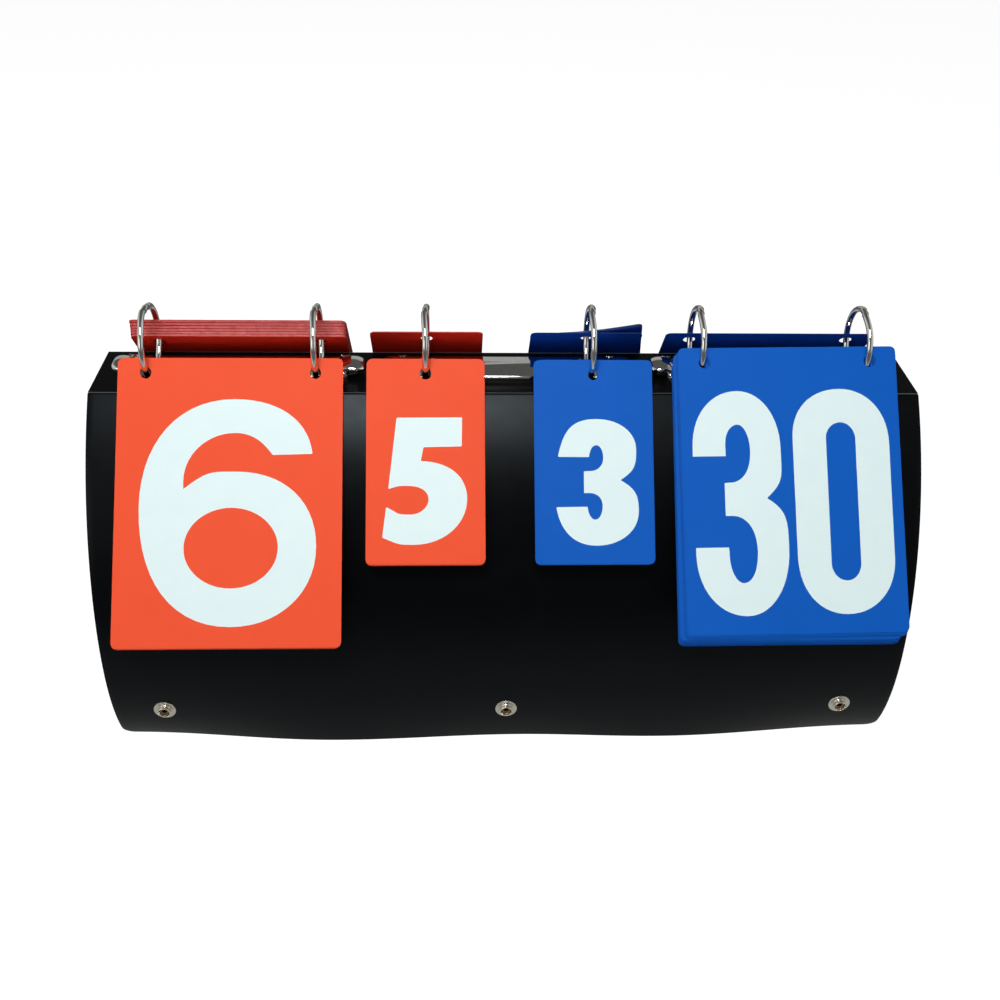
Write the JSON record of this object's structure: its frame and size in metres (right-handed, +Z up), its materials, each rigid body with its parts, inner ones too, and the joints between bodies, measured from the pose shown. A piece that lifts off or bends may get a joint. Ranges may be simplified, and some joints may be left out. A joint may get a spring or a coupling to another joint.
{
  "type": "tabletop flip scoreboard",
  "caption": "Tent-shaped tabletop scoreboard: a creased sheet with ring mechanisms on its spine and flip cards with digits, in red for one side and blue for the other.",
  "frame": {"origin": "middle of the footprint, on the surface that the object stands on", "axes": "+X along the spine to the right as seen from the front, +Y from the front panel to the rear one, +Z up"},
  "size_m": [0.4, 0.2028, 0.2111],
  "materials": {
    "black_sheet": "satin black polypropylene sheet with a fine grain",
    "bright_chrome": "bright plated steel",
    "blade_steel": "plain zinc-plated steel",
    "snap_steel": "nickel-plated, lightly worn",
    "snap_brass": "plain brass",
    "red_card": "satin printed plastic card, orange-red",
    "blue_card": "satin printed plastic card, medium blue"
  },
  "bodies": {
    "spine": {"spine_panel": "black_sheet", "left_mechanism_cover": "bright_chrome", "left_rivets": "bright_chrome", "left_lever_pins": "blade_steel", "middle_mechanism_cover": "bright_chrome", "middle_rivets": "bright_chrome", "middle_lever_pins": "blade_steel", "right_mechanism_cover": "bright_chrome", "right_rivets": "bright_chrome", "right_lever_pins": "blade_steel"},
    "front_panel": {"front_panel": "black_sheet", "snap_studs": "snap_steel", "snap_stud_posts": "snap_brass"},
    "rear_panel": {"rear_panel": "black_sheet", "snap_sockets": "snap_steel", "snap_socket_caps": "snap_steel"},
    "left_front_rings": {"left_front_blade": "blade_steel", "left_front_half_rings": "bright_chrome"},
    "left_rear_rings": {"left_rear_blade": "blade_steel", "left_rear_half_rings": "bright_chrome"},
    "left_left_lever": {"left_mechanism_left_lever": "bright_chrome"},
    "left_right_lever": {"left_mechanism_right_lever": "bright_chrome"},
    "middle_front_rings": {"middle_front_blade": "blade_steel", "middle_front_half_rings": "bright_chrome"},
    "middle_rear_rings": {"middle_rear_blade": "blade_steel", "middle_rear_half_rings": "bright_chrome"},
    "middle_left_lever": {"middle_mechanism_left_lever": "bright_chrome"},
    "middle_right_lever": {"middle_mechanism_right_lever": "bright_chrome"},
    "right_front_rings": {"right_front_blade": "blade_steel", "right_front_half_rings": "bright_chrome"},
    "right_rear_rings": {"right_rear_blade": "blade_steel", "right_rear_half_rings": "bright_chrome"},
    "right_left_lever": {"right_mechanism_left_lever": "bright_chrome"},
    "right_right_lever": {"right_mechanism_right_lever": "bright_chrome"},
    "red_points_front_cards": {"red_points_front_cards": "red_card"},
    "red_points_shown_card": {"red_points_shown_card": "red_card"},
    "red_points_rear_cards": {"red_points_rear_cards": "red_card"},
    "red_sets_front_cards": {"red_sets_front_cards": "red_card"},
    "red_sets_shown_card": {"red_sets_shown_card": "red_card"},
    "red_sets_rear_cards": {"red_sets_rear_cards": "red_card"},
    "blue_sets_front_cards": {"blue_sets_front_cards": "blue_card"},
    "blue_sets_shown_card": {"blue_sets_shown_card": "blue_card"},
    "blue_sets_rear_cards": {"blue_sets_rear_cards": "blue_card"},
    "blue_points_front_cards": {"blue_points_front_cards": "blue_card"},
    "blue_points_shown_card": {"blue_points_shown_card": "blue_card"},
    "blue_points_rear_cards": {"blue_points_rear_cards": "blue_card"}
  },
  "joints": [
    {"name": "front_panel_fold", "type": "hinge", "parent": "spine", "child": "front_panel", "pos_m": [0, -0.01918, 0.17608], "axis": [1, 0, 0], "range_deg": [0, 22.2]},
    {"name": "rear_panel_fold", "type": "hinge", "parent": "spine", "child": "rear_panel", "pos_m": [0, 0.02182, 0.17608], "axis": [-1, 0, 0], "range_deg": [0, 22.2]},
    {"name": "left_front_rings_open", "type": "hinge", "parent": "spine", "child": "left_front_rings", "pos_m": [-0.1325, -0.00618, 0.17763], "axis": [-1, 0, 0], "range_deg": [-4, 0]},
    {"name": "left_rear_rings_open", "type": "hinge", "parent": "spine", "child": "left_rear_rings", "pos_m": [-0.1325, 0.00882, 0.17763], "axis": [1, 0, 0], "range_deg": [-4, 0]},
    {"name": "left_left_lever_press", "type": "hinge", "parent": "spine", "child": "left_left_lever", "pos_m": [-0.1847, 0.00132, 0.17828], "axis": [0, 1, 0], "range_deg": [-18, 0]},
    {"name": "left_right_lever_press", "type": "hinge", "parent": "spine", "child": "left_right_lever", "pos_m": [-0.0803, 0.00132, 0.17828], "axis": [0, -1, 0], "range_deg": [-18, 0]},
    {"name": "middle_front_rings_open", "type": "hinge", "parent": "spine", "child": "middle_front_rings", "pos_m": [0, -0.00618, 0.17763], "axis": [-1, 0, 0], "range_deg": [-4, 0]},
    {"name": "middle_rear_rings_open", "type": "hinge", "parent": "spine", "child": "middle_rear_rings", "pos_m": [0, 0.00882, 0.17763], "axis": [1, 0, 0], "range_deg": [-4, 0]},
    {"name": "middle_left_lever_press", "type": "hinge", "parent": "spine", "child": "middle_left_lever", "pos_m": [-0.0522, 0.00132, 0.17828], "axis": [0, 1, 0], "range_deg": [-18, 0]},
    {"name": "middle_right_lever_press", "type": "hinge", "parent": "spine", "child": "middle_right_lever", "pos_m": [0.0522, 0.00132, 0.17828], "axis": [0, -1, 0], "range_deg": [-18, 0]},
    {"name": "right_front_rings_open", "type": "hinge", "parent": "spine", "child": "right_front_rings", "pos_m": [0.1325, -0.00618, 0.17763], "axis": [-1, 0, 0], "range_deg": [-4, 0]},
    {"name": "right_rear_rings_open", "type": "hinge", "parent": "spine", "child": "right_rear_rings", "pos_m": [0.1325, 0.00882, 0.17763], "axis": [1, 0, 0], "range_deg": [-4, 0]},
    {"name": "right_left_lever_press", "type": "hinge", "parent": "spine", "child": "right_left_lever", "pos_m": [0.0803, 0.00132, 0.17828], "axis": [0, 1, 0], "range_deg": [-18, 0]},
    {"name": "right_right_lever_press", "type": "hinge", "parent": "spine", "child": "right_right_lever", "pos_m": [0.1847, 0.00132, 0.17828], "axis": [0, -1, 0], "range_deg": [-18, 0]},
    {"name": "red_points_front_stack_lift", "type": "hinge", "parent": "spine", "child": "red_points_front_cards", "pos_m": [-0.1325, 0.00132, 0.19258], "axis": [-1, 0, 0], "range_deg": [0, 12]},
    {"name": "red_points_shown_card_flip", "type": "hinge", "parent": "red_points_front_cards", "child": "red_points_shown_card", "pos_m": [-0.1325, 0.00132, 0.19258], "axis": [-1, 0, 0], "range_deg": [0, 150]},
    {"name": "red_points_rear_stack_flip", "type": "hinge", "parent": "spine", "child": "red_points_rear_cards", "pos_m": [-0.1325, 0.00132, 0.19258], "axis": [1, 0, 0], "range_deg": [0, 150]},
    {"name": "red_sets_front_stack_lift", "type": "hinge", "parent": "spine", "child": "red_sets_front_cards", "pos_m": [-0.04, 0.00132, 0.19258], "axis": [-1, 0, 0], "range_deg": [0, 12]},
    {"name": "red_sets_shown_card_flip", "type": "hinge", "parent": "red_sets_front_cards", "child": "red_sets_shown_card", "pos_m": [-0.04, 0.00132, 0.19258], "axis": [-1, 0, 0], "range_deg": [0, 150]},
    {"name": "red_sets_rear_stack_flip", "type": "hinge", "parent": "spine", "child": "red_sets_rear_cards", "pos_m": [-0.04, 0.00132, 0.19258], "axis": [1, 0, 0], "range_deg": [0, 150]},
    {"name": "blue_sets_front_stack_lift", "type": "hinge", "parent": "spine", "child": "blue_sets_front_cards", "pos_m": [0.04, 0.00132, 0.19258], "axis": [-1, 0, 0], "range_deg": [0, 12]},
    {"name": "blue_sets_shown_card_flip", "type": "hinge", "parent": "blue_sets_front_cards", "child": "blue_sets_shown_card", "pos_m": [0.04, 0.00132, 0.19258], "axis": [-1, 0, 0], "range_deg": [0, 150]},
    {"name": "blue_sets_rear_stack_flip", "type": "hinge", "parent": "spine", "child": "blue_sets_rear_cards", "pos_m": [0.04, 0.00132, 0.19258], "axis": [1, 0, 0], "range_deg": [0, 150]},
    {"name": "blue_points_front_stack_lift", "type": "hinge", "parent": "spine", "child": "blue_points_front_cards", "pos_m": [0.1325, 0.00132, 0.19258], "axis": [-1, 0, 0], "range_deg": [0, 12]},
    {"name": "blue_points_shown_card_flip", "type": "hinge", "parent": "blue_points_front_cards", "child": "blue_points_shown_card", "pos_m": [0.1325, 0.00132, 0.19258], "axis": [-1, 0, 0], "range_deg": [0, 150]},
    {"name": "blue_points_rear_stack_flip", "type": "hinge", "parent": "spine", "child": "blue_points_rear_cards", "pos_m": [0.1325, 0.00132, 0.19258], "axis": [1, 0, 0], "range_deg": [0, 150]}
  ],
  "couplings": [
    {"joint": "left_rear_rings_open", "follows": "left_front_rings_open", "ratio": 1},
    {"joint": "left_left_lever_press", "follows": "left_front_rings_open", "ratio": 4.5},
    {"joint": "left_right_lever_press", "follows": "left_front_rings_open", "ratio": 4.5},
    {"joint": "middle_rear_rings_open", "follows": "middle_front_rings_open", "ratio": 1},
    {"joint": "middle_left_lever_press", "follows": "middle_front_rings_open", "ratio": 4.5},
    {"joint": "middle_right_lever_press", "follows": "middle_front_rings_open", "ratio": 4.5},
    {"joint": "right_rear_rings_open", "follows": "right_front_rings_open", "ratio": 1},
    {"joint": "right_left_lever_press", "follows": "right_front_rings_open", "ratio": 4.5},
    {"joint": "right_right_lever_press", "follows": "right_front_rings_open", "ratio": 4.5}
  ]
}
